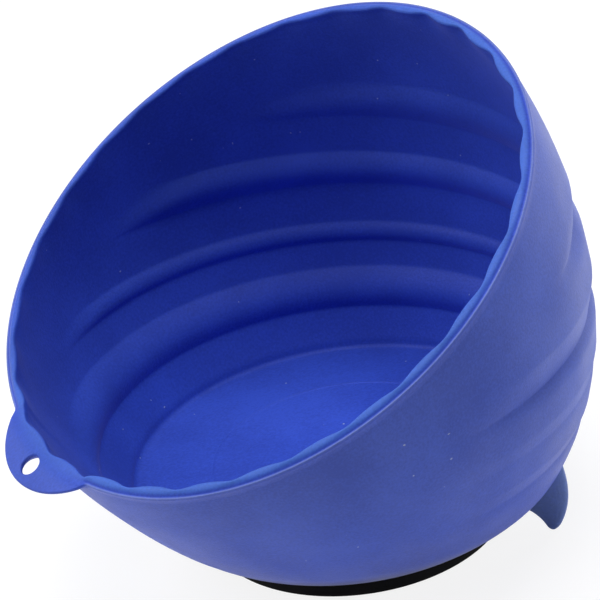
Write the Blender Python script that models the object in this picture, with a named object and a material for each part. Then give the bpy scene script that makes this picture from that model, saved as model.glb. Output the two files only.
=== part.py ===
# Magnetic parts bowl: a soft blue moulding with a slanted mouth on a round magnet foot.
# Metres, +Z up. The origin is the centre of the foot's underside, and the mouth
# slopes down towards -X, where the hanging ear is.
import math

import bmesh
import bpy
from mathutils import Matrix, Vector

MM = 0.001

# Running clearance between neighbouring pieces
GAP = 0.3 * MM

# Magnet foot, stacked upwards from the table
SOLE_CENTRE_THICKNESS = 1.0 * MM
CLAMP_THICKNESS = 1.6 * MM
CLAMP_RADIUS = 20.0 * MM
MAGNET_THICKNESS = 10.0 * MM
MAGNET_RADIUS = 36.0 * MM
MAGNET_BORE_RADIUS = 16.0 * MM
SPREADER_THICKNESS = 1.2 * MM
BOOT_WALL = 3.1 * MM
BOOT_EDGE_ROUND = 1.2 * MM
BOOT_SHOWS = 5.2 * MM

# Screw and moulded-in nut
SCREW_RADIUS = 2.0 * MM
SCREW_HEAD_RADIUS = 3.9 * MM
SCREW_CLEARANCE = 0.3 * MM
SCREW_TIP_INSET = 1.0 * MM
NUT_RADIUS = 4.2 * MM
NUT_LENGTH = 7.0 * MM

# Soft moulding
FLOOR_THICKNESS = 2.7 * MM
WALL = 2.4 * MM
FOOT_LIP = 1.2 * MM
FLOOR_CORNER = 1.6 * MM
BELLY_RADIUS = 75.9 * MM
BELLY_RISE = 58.4 * MM
LOWER_ARC_RADIUS = 100.3 * MM
UPPER_ARC_RADIUS = 122.4 * MM
LEAN_SLOPE = 0.262
LEAN_EASE = 1.0 / (1000.0 * MM)

# Inward rolls of the wall: start above the floor, height and depth
ROLLS = (
    (10.5 * MM, 10.7 * MM, 1.8 * MM),
    (28.4 * MM, 5.4 * MM, 0.9 * MM),
    (45.2 * MM, 9.8 * MM, 1.4 * MM),
    (66.3 * MM, 11.5 * MM, 1.1 * MM),
)

# The wall flexes between these heights above the floor
FLEX_START = 9.3 * MM
FLEX_END = 27.3 * MM

# Slanted mouth
MOUTH_RISE = 70.7 * MM
MOUTH_SHIFT = 17.1 * MM
MOUTH_SLANT = math.radians(29.2)

# Hanging ear, in the plane of the mouth
EAR_ANGLE = math.radians(-9.0)
EAR_ROOT_HALF_ANGLE = math.radians(14.7)
EAR_FLAT_HALF_ANGLE = math.radians(6.0)
EAR_REACH = 9.3 * MM
EAR_THICKNESS = 2.4 * MM
EAR_SINK = 0.2 * MM
EAR_HOLE_RADIUS = 3.1 * MM
EAR_HOLE_REACH = 5.3 * MM

# Pull fin under the belly, in an upright plane through the foot's axis
FIN_ANGLE = math.radians(-58.5)
FIN_THICKNESS = 4.5 * MM
FIN_ROOT_RISE = 3.2 * MM
FIN_REACH = 12.6 * MM
FIN_BULGE = 2.4 * MM
FIN_TIP_WIDTH = 1.6 * MM
FIN_TABLE_CLEARANCE = 0.4 * MM

# Mesh fineness
SEGMENTS = 48
SMALL_SEGMENTS = 24
STEP = 2.6 * MM

# Heights and radii that follow from the values above
CLAMP_BOTTOM = SOLE_CENTRE_THICKNESS + GAP
CLAMP_TOP = CLAMP_BOTTOM + CLAMP_THICKNESS
MAGNET_BOTTOM = CLAMP_TOP + GAP
MAGNET_TOP = MAGNET_BOTTOM + MAGNET_THICKNESS
SPREADER_BOTTOM = MAGNET_TOP + GAP
SPREADER_TOP = SPREADER_BOTTOM + SPREADER_THICKNESS
FLOOR_BOTTOM = SPREADER_TOP + GAP
FLOOR_TOP = FLOOR_BOTTOM + FLOOR_THICKNESS
BOOT_RADIUS = MAGNET_RADIUS + GAP + BOOT_WALL
SOCKET_RADIUS = BOOT_RADIUS + GAP
FOOT_RADIUS = SOCKET_RADIUS + FOOT_LIP
BOSS_RADIUS = MAGNET_BORE_RADIUS - 2.0 * GAP
NUT_BOTTOM = MAGNET_BOTTOM + GAP
NUT_TOP = NUT_BOTTOM + NUT_LENGTH
BELLY_HEIGHT = FLOOR_TOP + BELLY_RISE
MOUTH_HEIGHT = FLOOR_TOP + MOUTH_RISE
WALL_TOP = MOUTH_HEIGHT + BELLY_RADIUS


def clear_scene():
    for old in list(bpy.data.objects):
        bpy.data.objects.remove(old, do_unlink=True)


def material(name, colour, roughness, metallic=0.0):
    made = bpy.data.materials.new(name)
    made.use_nodes = True
    shader = made.node_tree.nodes["Principled BSDF"]
    shader.inputs["Base Color"].default_value = (*colour, 1.0)
    shader.inputs["Roughness"].default_value = roughness
    shader.inputs["Metallic"].default_value = metallic
    made.diffuse_color = (*colour, 1.0)
    return made


def add_object(name, mesh_builder, finish=None):
    bmesh.ops.recalc_face_normals(mesh_builder, faces=mesh_builder.faces)
    mesh = bpy.data.meshes.new(name)
    mesh_builder.to_mesh(mesh)
    mesh_builder.free()
    made = bpy.data.objects.new(name, mesh)
    bpy.context.scene.collection.objects.link(made)
    if finish:
        mesh.materials.append(finish)
        mesh.shade_smooth()
        mesh.set_sharp_from_angle(angle=math.radians(40))
    return made


def turned(name, stations, finish=None, looped=False, segments=SEGMENTS):
    """A round solid: each station is (height, radius, centre_x), and a radius of 0 is a pole."""
    builder = bmesh.new()
    rings = []
    for height, radius, centre_x in stations:
        if radius == 0.0:
            rings.append([builder.verts.new((centre_x, 0.0, height))])
            continue
        turns = [2.0 * math.pi * step / segments for step in range(segments)]
        rings.append([
            builder.verts.new((centre_x + radius * math.cos(turn), radius * math.sin(turn), height))
            for turn in turns
        ])
    pairs = list(zip(rings, rings[1:]))
    if looped:
        pairs.append((rings[-1], rings[0]))
    for first, second in pairs:
        for step in range(segments):
            after = (step + 1) % segments
            if len(first) == 1:
                corners = (first[0], second[step], second[after])
            elif len(second) == 1:
                corners = (first[step], second[0], first[after])
            else:
                corners = (first[step], second[step], second[after], first[after])
            builder.faces.new(corners)
    return add_object(name, builder, finish)


def plate(name, outline, bottom, top):
    """A flat plate from an outline in its own X and Y."""
    builder = bmesh.new()
    low = [builder.verts.new((x, y, bottom)) for x, y in outline]
    high = [builder.verts.new((x, y, top)) for x, y in outline]
    builder.faces.new(low)
    builder.faces.new(high)
    count = len(outline)
    for step in range(count):
        after = (step + 1) % count
        builder.faces.new((low[step], low[after], high[after], high[step]))
    return add_object(name, builder)


def as_tool(tool, place):
    tool.matrix_world = place
    tool.hide_render = True
    tool.display_type = "WIRE"
    return tool


def combine(target, tool, operation):
    change = target.modifiers.new(tool.name, "BOOLEAN")
    change.operation = operation
    change.object = tool
    change.solver = "EXACT"


def centred(stations):
    return [(height, radius, 0.0) for height, radius in stations]


# Shape of the moulded wall

def drop(distance, arc_radius):
    """How far an arc has fallen away from its tangent at this distance along it."""
    reach = min(distance, 0.98 * arc_radius)
    return arc_radius - math.sqrt(arc_radius ** 2 - reach ** 2)


def arc_wall(height):
    if height < BELLY_HEIGHT:
        return BELLY_RADIUS - drop(BELLY_HEIGHT - height, LOWER_ARC_RADIUS)
    return BELLY_RADIUS - drop(height - BELLY_HEIGHT, UPPER_ARC_RADIUS)


def roll_depth(height):
    """Half a sine wave inwards over each roll, and nothing between the rolls."""
    for start, rise, depth in ROLLS:
        share = (height - FLOOR_TOP - start) / rise
        if 0.0 < share < 1.0:
            return depth * math.sin(math.pi * share)
    return 0.0


def outer_radius(height):
    """The belly's two arcs, tucked in below the floor to meet the foot."""
    radius = arc_wall(height) - roll_depth(height)
    if height < FLOOR_TOP:
        share = (FLOOR_TOP - height) / (FLOOR_TOP - BOOT_SHOWS)
        radius -= (arc_wall(BOOT_SHOWS) - FOOT_RADIUS) * share ** 2
    return radius


def lean(height):
    """How far a ring's centre lies towards the ear."""
    rise = max(0.0, height - FLOOR_BOTTOM)
    return LEAN_SLOPE * rise - LEAN_EASE * rise ** 2


def wall_heights(bottom, top):
    """Even steps between the edges of the rolls, so that each edge has a ring of its own."""
    edges = {bottom, top}
    for start, rise, _ in ROLLS:
        edges.update(edge for edge in (FLOOR_TOP + start, FLOOR_TOP + start + rise) if bottom < edge < top)
    edges = sorted(edges)
    heights = [bottom]
    for low, high in zip(edges, edges[1:]):
        count = max(1, math.ceil((high - low) / STEP))
        heights += [low + (high - low) * step / count for step in range(1, count + 1)]
    return heights


def outer_wall(bottom, top):
    return [(height, outer_radius(height), -lean(height)) for height in wall_heights(bottom, top)]


def inner_wall(bottom, top):
    return [(height, radius - WALL, centre_x) for height, radius, centre_x in outer_wall(bottom, top)]


# Blue moulding

def mouth_plane():
    """Local X points to the ear's side of the mouth, and local Z out of the mouth."""
    centre = Matrix.Translation((-MOUTH_SHIFT, 0.0, MOUTH_HEIGHT))
    slope = Matrix.Rotation(-MOUTH_SLANT, 4, "Y")
    return centre @ slope @ Matrix.Rotation(math.pi, 4, "Z")


def wall_gap(plane, distance, turn):
    """How far a point in the plane of the mouth lies outside the wall, or less than 0 inside it."""
    at = plane @ Vector((distance * math.cos(turn), distance * math.sin(turn), 0.0))
    return math.hypot(at.x + lean(at.z), at.y) - outer_radius(at.z)


def mouth_reach(turn):
    """From the middle of the mouth to the wall's outer side, found by halving."""
    plane = mouth_plane()
    near = 0.5 * BELLY_RADIUS
    far = 1.5 * BELLY_RADIUS
    for _ in range(40):
        middle = 0.5 * (near + far)
        if wall_gap(plane, middle, turn) < 0.0:
            near = middle
        else:
            far = middle
    return near


def curve(start, handle, end, count):
    """Points along a quadratic curve that leaves its start and meets its end towards the handle."""
    points = []
    for step in range(count + 1):
        share = step / count
        rest = 1.0 - share
        points.append(tuple(
            rest * rest * a + 2.0 * rest * share * b + share * share * c
            for a, b, c in zip(start, handle, end)
        ))
    return points


def build_fin():
    """Outline in local X, outwards, and Y, upwards: a curved heel that ends just over the table."""
    root_height = FLOOR_TOP + FIN_ROOT_RISE
    root = (outer_radius(root_height) - lean(root_height) - 0.3 * WALL, root_height)
    tip_radius = FOOT_RADIUS + FIN_REACH
    tip_outer = (tip_radius, FIN_TABLE_CLEARANCE)
    tip_inner = (tip_radius - FIN_TIP_WIDTH, FIN_TABLE_CLEARANCE + 0.2 * FIN_TIP_WIDTH)
    heel_height = 0.4 * BOOT_SHOWS + 0.6 * FLOOR_TOP
    heel = (0.5 * (SOCKET_RADIUS + outer_radius(heel_height)), heel_height)
    under_belly = (FOOT_RADIUS + 0.45 * FIN_REACH, BOOT_SHOWS)
    outline = curve(root, (root[0] + FIN_BULGE, 0.35 * root_height), tip_outer, 7)
    outline += curve(tip_inner, under_belly, (outer_radius(heel_height) - WALL, heel_height), 5)
    outline.append(heel)
    outline.append((outer_radius(FLOOR_BOTTOM) - 0.5 * WALL, FLOOR_BOTTOM))
    fin = plate("fin_form", outline, -0.5 * FIN_THICKNESS, 0.5 * FIN_THICKNESS)
    upright = Matrix.Rotation(math.radians(90), 4, "X")
    return as_tool(fin, Matrix.Rotation(FIN_ANGLE, 4, "Z") @ upright)


def build_bowl_base(blue):
    top = FLOOR_TOP + FLEX_START
    corner = FLOOR_TOP + FLOOR_CORNER
    corner_radius = outer_radius(corner) - WALL
    stations = [(FLOOR_TOP, 0.0, 0.0)]
    stations += [(FLOOR_TOP, share * (corner_radius - FLOOR_CORNER), 0.0) for share in (0.35, 0.7, 1.0)]
    for turn in (30.0, 60.0):
        rise = FLOOR_CORNER * (1.0 - math.cos(math.radians(turn)))
        run = FLOOR_CORNER * math.sin(math.radians(turn))
        radius = corner_radius - FLOOR_CORNER + run
        stations.append((FLOOR_TOP + rise, radius, -lean(corner) * turn / 90.0))
    stations += inner_wall(corner, top)
    stations += reversed(outer_wall(BOOT_SHOWS, top))
    stations += centred([
        (BOOT_SHOWS, SOCKET_RADIUS),
        (FLOOR_BOTTOM, SOCKET_RADIUS),
        (FLOOR_BOTTOM, BOSS_RADIUS),
        (MAGNET_BOTTOM, BOSS_RADIUS),
        (MAGNET_BOTTOM, NUT_RADIUS + GAP),
        (NUT_TOP + GAP, NUT_RADIUS + GAP),
        (NUT_TOP + GAP, 0.0),
    ])
    base = turned("bowl_base", stations, blue)
    combine(base, build_fin(), "UNION")


def build_bellows_wall(blue):
    bottom = FLOOR_TOP + FLEX_START + GAP
    top = FLOOR_TOP + FLEX_END - GAP
    stations = outer_wall(bottom, top) + list(reversed(inner_wall(bottom, top)))
    turned("bellows_wall", stations, blue, looped=True)


def ear_outline():
    """The wall's edge at the mouth, swollen smoothly outwards over the ear's width."""
    steps = 20
    outline = []
    for step in range(steps + 1):
        turn = EAR_ROOT_HALF_ANGLE * (2.0 * step / steps - 1.0)
        share = (EAR_ROOT_HALF_ANGLE - abs(turn)) / (EAR_ROOT_HALF_ANGLE - EAR_FLAT_HALF_ANGLE)
        share = min(1.0, share)
        reach = EAR_REACH * share ** 2 * (3.0 - 2.0 * share)
        radius = mouth_reach(EAR_ANGLE + turn) - 0.3 * WALL + reach
        outline.append((radius * math.cos(EAR_ANGLE + turn), radius * math.sin(EAR_ANGLE + turn)))
    for step in range(steps // 2 + 1):
        turn = EAR_ROOT_HALF_ANGLE * (1.0 - 4.0 * step / steps)
        radius = mouth_reach(EAR_ANGLE + turn) - 0.8 * WALL
        outline.append((radius * math.cos(EAR_ANGLE + turn), radius * math.sin(EAR_ANGLE + turn)))
    return outline


def build_bowl_rim(blue):
    bottom = FLOOR_TOP + FLEX_END
    stations = outer_wall(bottom, WALL_TOP) + list(reversed(inner_wall(bottom, WALL_TOP)))
    rim = turned("bowl_rim", stations, blue, looped=True)
    plane = mouth_plane()
    half = 2.0 * BELLY_RADIUS
    square = [(-half, -half), (half, -half), (half, half), (-half, half)]
    slant = plate("mouth_cut", square, 0.0, half)
    combine(rim, as_tool(slant, plane), "DIFFERENCE")
    ear = plate("ear_form", ear_outline(), -EAR_SINK - EAR_THICKNESS, -EAR_SINK)
    combine(rim, as_tool(ear, plane), "UNION")
    reach = mouth_reach(EAR_ANGLE) + EAR_HOLE_REACH
    at = Vector((reach * math.cos(EAR_ANGLE), reach * math.sin(EAR_ANGLE), 0.0))
    depth = EAR_THICKNESS + 2.0 * MM
    drill = turned("ear_drill", centred([
        (-depth, 0.0),
        (-depth, EAR_HOLE_RADIUS),
        (depth, EAR_HOLE_RADIUS),
        (depth, 0.0),
    ]), segments=SMALL_SEGMENTS)
    combine(rim, as_tool(drill, plane @ Matrix.Translation(at)), "DIFFERENCE")


# Magnet foot

def build_rubber_boot(black):
    turned("rubber_boot", centred([
        (0.0, 0.0),
        (0.0, 0.5 * BOOT_RADIUS),
        (0.0, BOOT_RADIUS - BOOT_EDGE_ROUND),
        (0.3 * BOOT_EDGE_ROUND, BOOT_RADIUS - 0.3 * BOOT_EDGE_ROUND),
        (BOOT_EDGE_ROUND, BOOT_RADIUS),
        (SPREADER_TOP, BOOT_RADIUS),
        (SPREADER_TOP, MAGNET_RADIUS + GAP),
        (MAGNET_BOTTOM - GAP, MAGNET_RADIUS + GAP),
        (MAGNET_BOTTOM - GAP, CLAMP_RADIUS + GAP),
        (SOLE_CENTRE_THICKNESS, CLAMP_RADIUS + GAP),
        (SOLE_CENTRE_THICKNESS, 0.0),
    ]), black)


def annulus(name, bottom, top, inner, outer, finish, segments=SEGMENTS):
    stations = centred([(bottom, outer), (top, outer), (top, inner), (bottom, inner)])
    turned(name, stations, finish, looped=True, segments=segments)


def build_clamp_plate(steel):
    """Flat disc with a countersunk hole that opens downwards."""
    bore = SCREW_RADIUS + SCREW_CLEARANCE
    turned("clamp_plate", centred([
        (CLAMP_BOTTOM, CLAMP_RADIUS),
        (CLAMP_TOP, CLAMP_RADIUS),
        (CLAMP_TOP, bore),
        (CLAMP_BOTTOM, SCREW_HEAD_RADIUS + 2.0 * SCREW_CLEARANCE),
    ]), steel, looped=True)


def build_base_screw(steel):
    tip = NUT_TOP - SCREW_TIP_INSET
    turned("base_screw", centred([
        (CLAMP_BOTTOM, 0.0),
        (CLAMP_BOTTOM, SCREW_HEAD_RADIUS),
        (CLAMP_TOP - SCREW_CLEARANCE, SCREW_RADIUS),
        (tip - 0.5 * SCREW_RADIUS, SCREW_RADIUS),
        (tip, 0.5 * SCREW_RADIUS),
        (tip, 0.0),
    ]), steel, segments=SMALL_SEGMENTS)


def build():
    clear_scene()
    blue = material("soft_blue", (0.045, 0.085, 0.42), 0.55)
    black = material("black_rubber", (0.012, 0.012, 0.014), 0.7)
    steel = material("plated_steel", (0.55, 0.56, 0.58), 0.35, metallic=1.0)
    ferrite = material("ferrite", (0.06, 0.06, 0.065), 0.75)
    brass = material("brass", (0.62, 0.46, 0.2), 0.35, metallic=1.0)
    build_bowl_base(blue)
    build_bellows_wall(blue)
    build_bowl_rim(blue)
    build_rubber_boot(black)
    annulus("ring_magnet", MAGNET_BOTTOM, MAGNET_TOP, MAGNET_BORE_RADIUS, MAGNET_RADIUS, ferrite)
    annulus("spreader_plate", SPREADER_BOTTOM, SPREADER_TOP, MAGNET_BORE_RADIUS, MAGNET_RADIUS, steel)
    build_clamp_plate(steel)
    nut_bore = SCREW_RADIUS + SCREW_CLEARANCE
    annulus("insert_nut", NUT_BOTTOM, NUT_TOP, nut_bore, NUT_RADIUS, brass, segments=SMALL_SEGMENTS)
    build_base_screw(steel)


build()
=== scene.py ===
"""Dressed model of the blue magnetic parts bowl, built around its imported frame.

Every shape is worked out as whole numpy arrays, in metres, in the frame of the CAD:
the origin is the centre of the foot's underside, +Z is up and the mouth slopes down
towards -X. One closed shell stands for the soft moulding.
"""
import math

import bmesh
import bpy
import numpy as np
from mathutils import Matrix, Vector


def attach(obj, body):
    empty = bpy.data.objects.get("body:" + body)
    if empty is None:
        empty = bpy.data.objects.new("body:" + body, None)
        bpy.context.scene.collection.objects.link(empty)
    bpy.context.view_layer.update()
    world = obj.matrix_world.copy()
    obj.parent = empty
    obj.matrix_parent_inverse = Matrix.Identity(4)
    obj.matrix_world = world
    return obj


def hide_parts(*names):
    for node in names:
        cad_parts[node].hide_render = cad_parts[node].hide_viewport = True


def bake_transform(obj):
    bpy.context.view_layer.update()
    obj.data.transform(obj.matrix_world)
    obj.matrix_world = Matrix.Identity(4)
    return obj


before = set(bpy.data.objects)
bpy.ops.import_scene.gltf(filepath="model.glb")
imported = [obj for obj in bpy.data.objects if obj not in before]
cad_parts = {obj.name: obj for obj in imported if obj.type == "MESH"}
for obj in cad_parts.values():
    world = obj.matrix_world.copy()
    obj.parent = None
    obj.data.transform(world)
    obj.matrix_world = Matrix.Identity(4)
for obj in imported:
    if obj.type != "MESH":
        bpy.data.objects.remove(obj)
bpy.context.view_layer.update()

MM = 0.001
DEGREE = math.pi / 180.0
FULL_TURN = 2.0 * math.pi

# Sizes that the CAD also has
FLOOR_TOP = 17.7 * MM
FLOOR_BOTTOM = 15.0 * MM
FLOOR_CORNER = 1.6 * MM
WALL = 2.4 * MM
BELLY_RADIUS = 75.9 * MM
BELLY_HEIGHT = 76.1 * MM
LOWER_ARC_RADIUS = 100.3 * MM
UPPER_ARC_RADIUS = 122.4 * MM
BOOT_SHOWS = 5.2 * MM
FOOT_RADIUS = 40.9 * MM
FOOT_ROUNDING = 1.1 * MM
SOCKET_RADIUS = 39.7 * MM
BOSS_RADIUS = 15.4 * MM
BOSS_BOTTOM = 3.2 * MM
NUT_POCKET_RADIUS = 4.5 * MM
NUT_POCKET_TOP = 10.8 * MM
BOOT_RADIUS = 39.4 * MM
BOOT_TOP = 14.7 * MM
BOOT_BORE_RADIUS = 36.3 * MM
BOOT_SHELF = 2.9 * MM
CLAMP_POCKET_RADIUS = 20.3 * MM
SOLE_CENTRE = 1.0 * MM
MOUTH_CENTRE = np.array([-17.1, 0.0, 88.4]) * MM
MOUTH_SLANT = 29.2 * DEGREE
FIN_TURN = -58.5 * DEGREE

# The rings' lean towards -X: its slope at the floor, and how fast it eases off, per metre
LEAN_SLOPE = 0.262
LEAN_EASE = 1.0

# Inward rolls on the inside: foot of the roll, height, depth
ROLLS = np.array([[28.2, 10.7, 2.3], [46.1, 5.4, 1.15], [62.9, 9.8, 1.9], [84.0, 11.5, 1.35]]) * MM
ROLL_SOFTNESS = 0.15 * MM
# Their folds on the outside: height of the crease, depth, run up to the fold's edge, run
# below the crease, and how far the edge stands out
GROOVES = np.array([
    [31.2, 0.62, 4.4, 4.5, 0.22], [45.0, 0.30, 4.4, 4.0, 0.28], [60.9, 1.75, 8.6, 3.0, 0.26],
    [84.4, 2.10, 7.4, 4.6, 0.24],
]) * MM
FLANK_SOFTNESS = 0.03
EDGE_RUN = 4.2 * MM
EDGE_SOFTNESS = 0.35 * MM
# The folds are whole up to this turn from the high back, and gone a fade beyond it
FOLD_HALF_TURN = 64.0 * DEGREE
FOLD_FADE = 42.0 * DEGREE
# Rolls and folds start to show this far below the mouth, and are whole a fade lower
PLAIN_BAND = 20.0 * MM
ROLL_FADE = 11.0 * MM

# Mouth and ear, taken from the photograph
RIM_RADIUS = 75.0 * MM
FLUTES = 30
FLUTE_DEPTH = 0.55 * MM
FLUTE_RUN = 8.0 * MM
FLUTE_START = 12.0 * DEGREE
FLUTE_DRIFT = 1.6 * DEGREE
FLUTE_DRIFT_START = 20.0 * DEGREE
FLUTE_SHARPNESS = 0.16
CALM_FLUTE_SHARE = 0.45
# The mouth's calm side: its middle, its half width and the width of the change
CALM_TURN = 80.0 * DEGREE
CALM_HALF_TURN = 50.0 * DEGREE
CALM_FADE = 35.0 * DEGREE
EAR_TURN = 170.6 * DEGREE
EAR_HALF_TURN = 20.0 * DEGREE
EAR_ARC_CENTRE = 61.5 * MM
EAR_ARC_RADIUS = 22.7 * MM
EAR_SOFTNESS = 0.9 * MM
EAR_LEAST = 0.02 * MM
EAR_LIP_FADE = 2.2 * MM
EAR_HOLE_REACH = 79.25 * MM
EAR_HOLE_RADIUS = 2.70 * MM

# Floor: the fine ring over the magnet's edge, the rings of points that carry it, where
# the rings start to lean, and the turns of the rings in the round corner
MAGNET_LINE = 35.9 * MM
MAGNET_LINE_HEIGHT = 0.20 * MM
MAGNET_LINE_WIDTH = 0.22 * MM
LINE_RINGS = np.array([35.3, 35.6, 35.8, 36.0, 36.2, 36.5]) * MM
LEAN_START = 36.5 * MM
CORNER_ARC = np.array([22.0, 45.0, 68.0]) * DEGREE

# Rows and columns of the moulding's skin
FINE_COLUMNS = 432
COARSE_STEP = 3
INNER_ROWS = 116
OUTER_ROWS = 88
FINE_OUTER_ROWS = 12
TUCK_ROWS = 12
INNER_CROWDING = 3.2
OUTER_CROWDING = 3.4
CROWDING_WIDTH = 1.1 * MM
EAR_CROWDING = 1.6
EAR_CROWDING_TURN = 16.0 * DEGREE
PACE_SAMPLES = 4001
TOP_SQUEEZE = 15.0 * MM
TOP_HOLD = 22.0 * MM
TOP_SEARCH = (25.0 * MM, 150.0 * MM)
TOP_HALVINGS = 45

# Pull fin: a start, a handle and an end of each edge, as reach from the foot's axis and height
FIN_OUTER_EDGE = np.array([[57.4, 22.5], [61.1, 9.9], [54.9, 0.7]]) * MM
FIN_INNER_EDGE = np.array([[43.6, 6.8], [49.8, 6.8], [52.9, 0.7]]) * MM
FIN_ROWS = 34
FIN_SIDES = 28
# Painted sheen over the whole fin, which lightens it in the bowl's shade
FIN_PAINTED_SHEEN = 4.0
# Its half thickness at the root in mm, how much of that it loses, and the least square of
# the tip's closing
FIN_ROOT_HALF = 2.8
FIN_THINNING = 1.3
FIN_TIP_LEAST = 0.0004

# Middle of the bowl, from which its outer skin looks away
BOWL_MIDDLE = np.array([-8.0, 0.0, 66.0]) * MM

# Boot: its rounded corners, and the grip rings in its sole: radius and two half widths
# in mm, and depth
BOOT_COLUMNS = 144
BOOT_EDGE_ROUNDING = 0.45 * MM
BOOT_CHAMFER = 0.3 * MM
SOLE_MIDDLE = 3.0 * MM
GRIP_RINGS = (12.0, 18.0, 24.0, 30.0, 35.5)
GRIP_HALF_OPEN = 0.6
GRIP_HALF_BOTTOM = 0.25
GRIP_DEPTH = 0.35 * MM

MERGE_GAP = 1e-7
SHARP_ANGLE = 40.0 * DEGREE


# Camera
def make_camera():
    """Camera that looks from azimuth -123 degrees, 29 degrees up and rolled by 8.5 degrees.

    It stands 900 mm from the foot and is slid sideways and upwards so that the object
    lies in the frame as in the photograph.
    """
    azimuth, elevation, roll = -123.1545 * DEGREE, 28.8961 * DEGREE, -8.5028 * DEGREE
    distance, slide_right, slide_up = 900.0 * MM, -15.2452 * MM, 55.2293 * MM
    back = Vector((
        math.cos(azimuth) * math.cos(elevation),
        math.sin(azimuth) * math.cos(elevation),
        math.sin(elevation),
    ))
    level = Vector((-math.sin(azimuth), math.cos(azimuth), 0.0))
    steep = back.cross(level)
    right = math.cos(roll) * level + math.sin(roll) * steep
    up = back.cross(right)
    place = slide_right * right + slide_up * up + distance * back
    lens = bpy.data.cameras.new("studio_camera")
    lens.sensor_width = 36.0
    lens.lens = 206.3
    lens.clip_start, lens.clip_end = 0.05, 20.0
    camera = bpy.data.objects.new("studio_camera", lens)
    turn = Matrix((right, up, back)).transposed().to_4x4()
    camera.matrix_world = Matrix.Translation(place) @ turn
    bpy.context.scene.collection.objects.link(camera)
    bpy.context.scene.camera = camera


make_camera()


# Small tools
def ease(share):
    """0 up to share 0, 1 from share 1, and a smooth S between them."""
    share = np.clip(share, 0.0, 1.0)
    return share * share * (3.0 - 2.0 * share)


def ramp(value, start, run):
    """0 up to the start, 1 from one run beyond it, and a smooth S between them."""
    return ease((value - start) / run)


def soft_larger(first, second, width):
    """The larger of two values, with the corner between them rounded over this width."""
    gap = first - second
    return 0.5 * (first + second + np.sqrt(gap * gap + width * width))


def turned_from(turn, middle):
    """How far a turn lies from the middle one, by the shorter way round."""
    return np.abs(np.angle(np.exp(1j * (turn - middle))))


def even_turns(count):
    """Turns in equal steps once round, without the last one that would double the first."""
    return np.linspace(0.0, FULL_TURN, count + 1)[:-1]


def running_total(density):
    """Running total of a density, by the means of neighbouring values."""
    return np.concatenate([[0.0], np.cumsum(0.5 * (density[1:] + density[:-1]))])


def make_piece(name, points, faces, finish):
    """One mesh object at the world origin from an array of points and lists of faces."""
    mesh = bpy.data.meshes.new(name)
    mesh.from_pydata(points.reshape(-1, 3).tolist(), [], faces)
    mesh.validate()
    builder = bmesh.new()
    builder.from_mesh(mesh)
    bmesh.ops.remove_doubles(builder, verts=builder.verts, dist=MERGE_GAP)
    bmesh.ops.recalc_face_normals(builder, faces=builder.faces)
    builder.to_mesh(mesh)
    builder.free()
    mesh.shade_smooth()
    mesh.set_sharp_from_angle(angle=SHARP_ANGLE)
    mesh.materials.append(finish)
    piece = bpy.data.objects.new(name, mesh)
    bpy.context.scene.collection.objects.link(piece)
    return piece


def tube_faces(first, rows, count):
    """Squares between neighbouring closed rings of a tube whose first point has this index."""
    step = np.arange(count)
    after = (step + 1) % count
    faces = []
    for row in range(rows - 1):
        low = first + row * count
        high = low + count
        faces += np.stack([low + step, low + after, high + after, high + step], -1).tolist()
    return faces


def capped_tube(rows, count):
    """Faces of a tube of rings that has one flat face at each end."""
    caps = [list(range(count)), list(range((rows - 1) * count, rows * count))[::-1]]
    return tube_faces(0, rows, count) + caps


def widening_faces(coarse, fine, count, parts):
    """Faces between a coarse ring and a fine one that has `parts` points for each of its points.

    Each coarse edge carries a fan: triangles at both ends and a square in the middle.
    """
    step = np.arange(count)
    after = (step + 1) % count
    low, high = coarse + step, coarse + after
    total = count * parts
    at = [fine + (step * parts + part) % total for part in range(parts + 1)]
    middle = parts // 2
    faces = []
    for part in range(parts):
        if part == middle:
            faces += np.stack([low, high, at[part + 1], at[part]], -1).tolist()
        else:
            corner = low if part < middle else high
            faces += np.stack([corner, at[part + 1], at[part]], -1).tolist()
    return faces


def pole_faces(ring, pole, count):
    """Triangles that close a ring to one point."""
    step = np.arange(count)
    return np.stack([ring + step, ring + (step + 1) % count, np.full(count, pole)], -1).tolist()


# Form of the moulded wall
def arc_wall(height):
    """Radius of the belly: an arc below its widest height and a flatter arc above it.

    Each arc falls in by R - sqrt(R^2 - d^2), with d the distance from the widest height,
    held below 0.98 R.
    """
    below = np.clip(BELLY_HEIGHT - height, 0.0, 0.98 * LOWER_ARC_RADIUS)
    above = np.clip(height - BELLY_HEIGHT, 0.0, 0.98 * UPPER_ARC_RADIUS)
    fall = LOWER_ARC_RADIUS - np.sqrt(LOWER_ARC_RADIUS ** 2 - below ** 2)
    fall += UPPER_ARC_RADIUS - np.sqrt(UPPER_ARC_RADIUS ** 2 - above ** 2)
    return BELLY_RADIUS - fall


def lean(height):
    """How far a ring's centre lies towards -X: a slope that eases off with height."""
    rise = np.maximum(0.0, height - FLOOR_BOTTOM)
    return LEAN_SLOPE * rise - LEAN_EASE * rise ** 2


def rolls(height):
    """Half a sine inwards over each roll, with its two ends rounded."""
    depth = np.zeros_like(height)
    for foot, rise, deep in ROLLS:
        share = np.clip((height - foot) / rise, -0.5, 1.5)
        depth += soft_larger(deep * np.sin(math.pi * share), 0.0, ROLL_SOFTNESS)
    return depth


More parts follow.
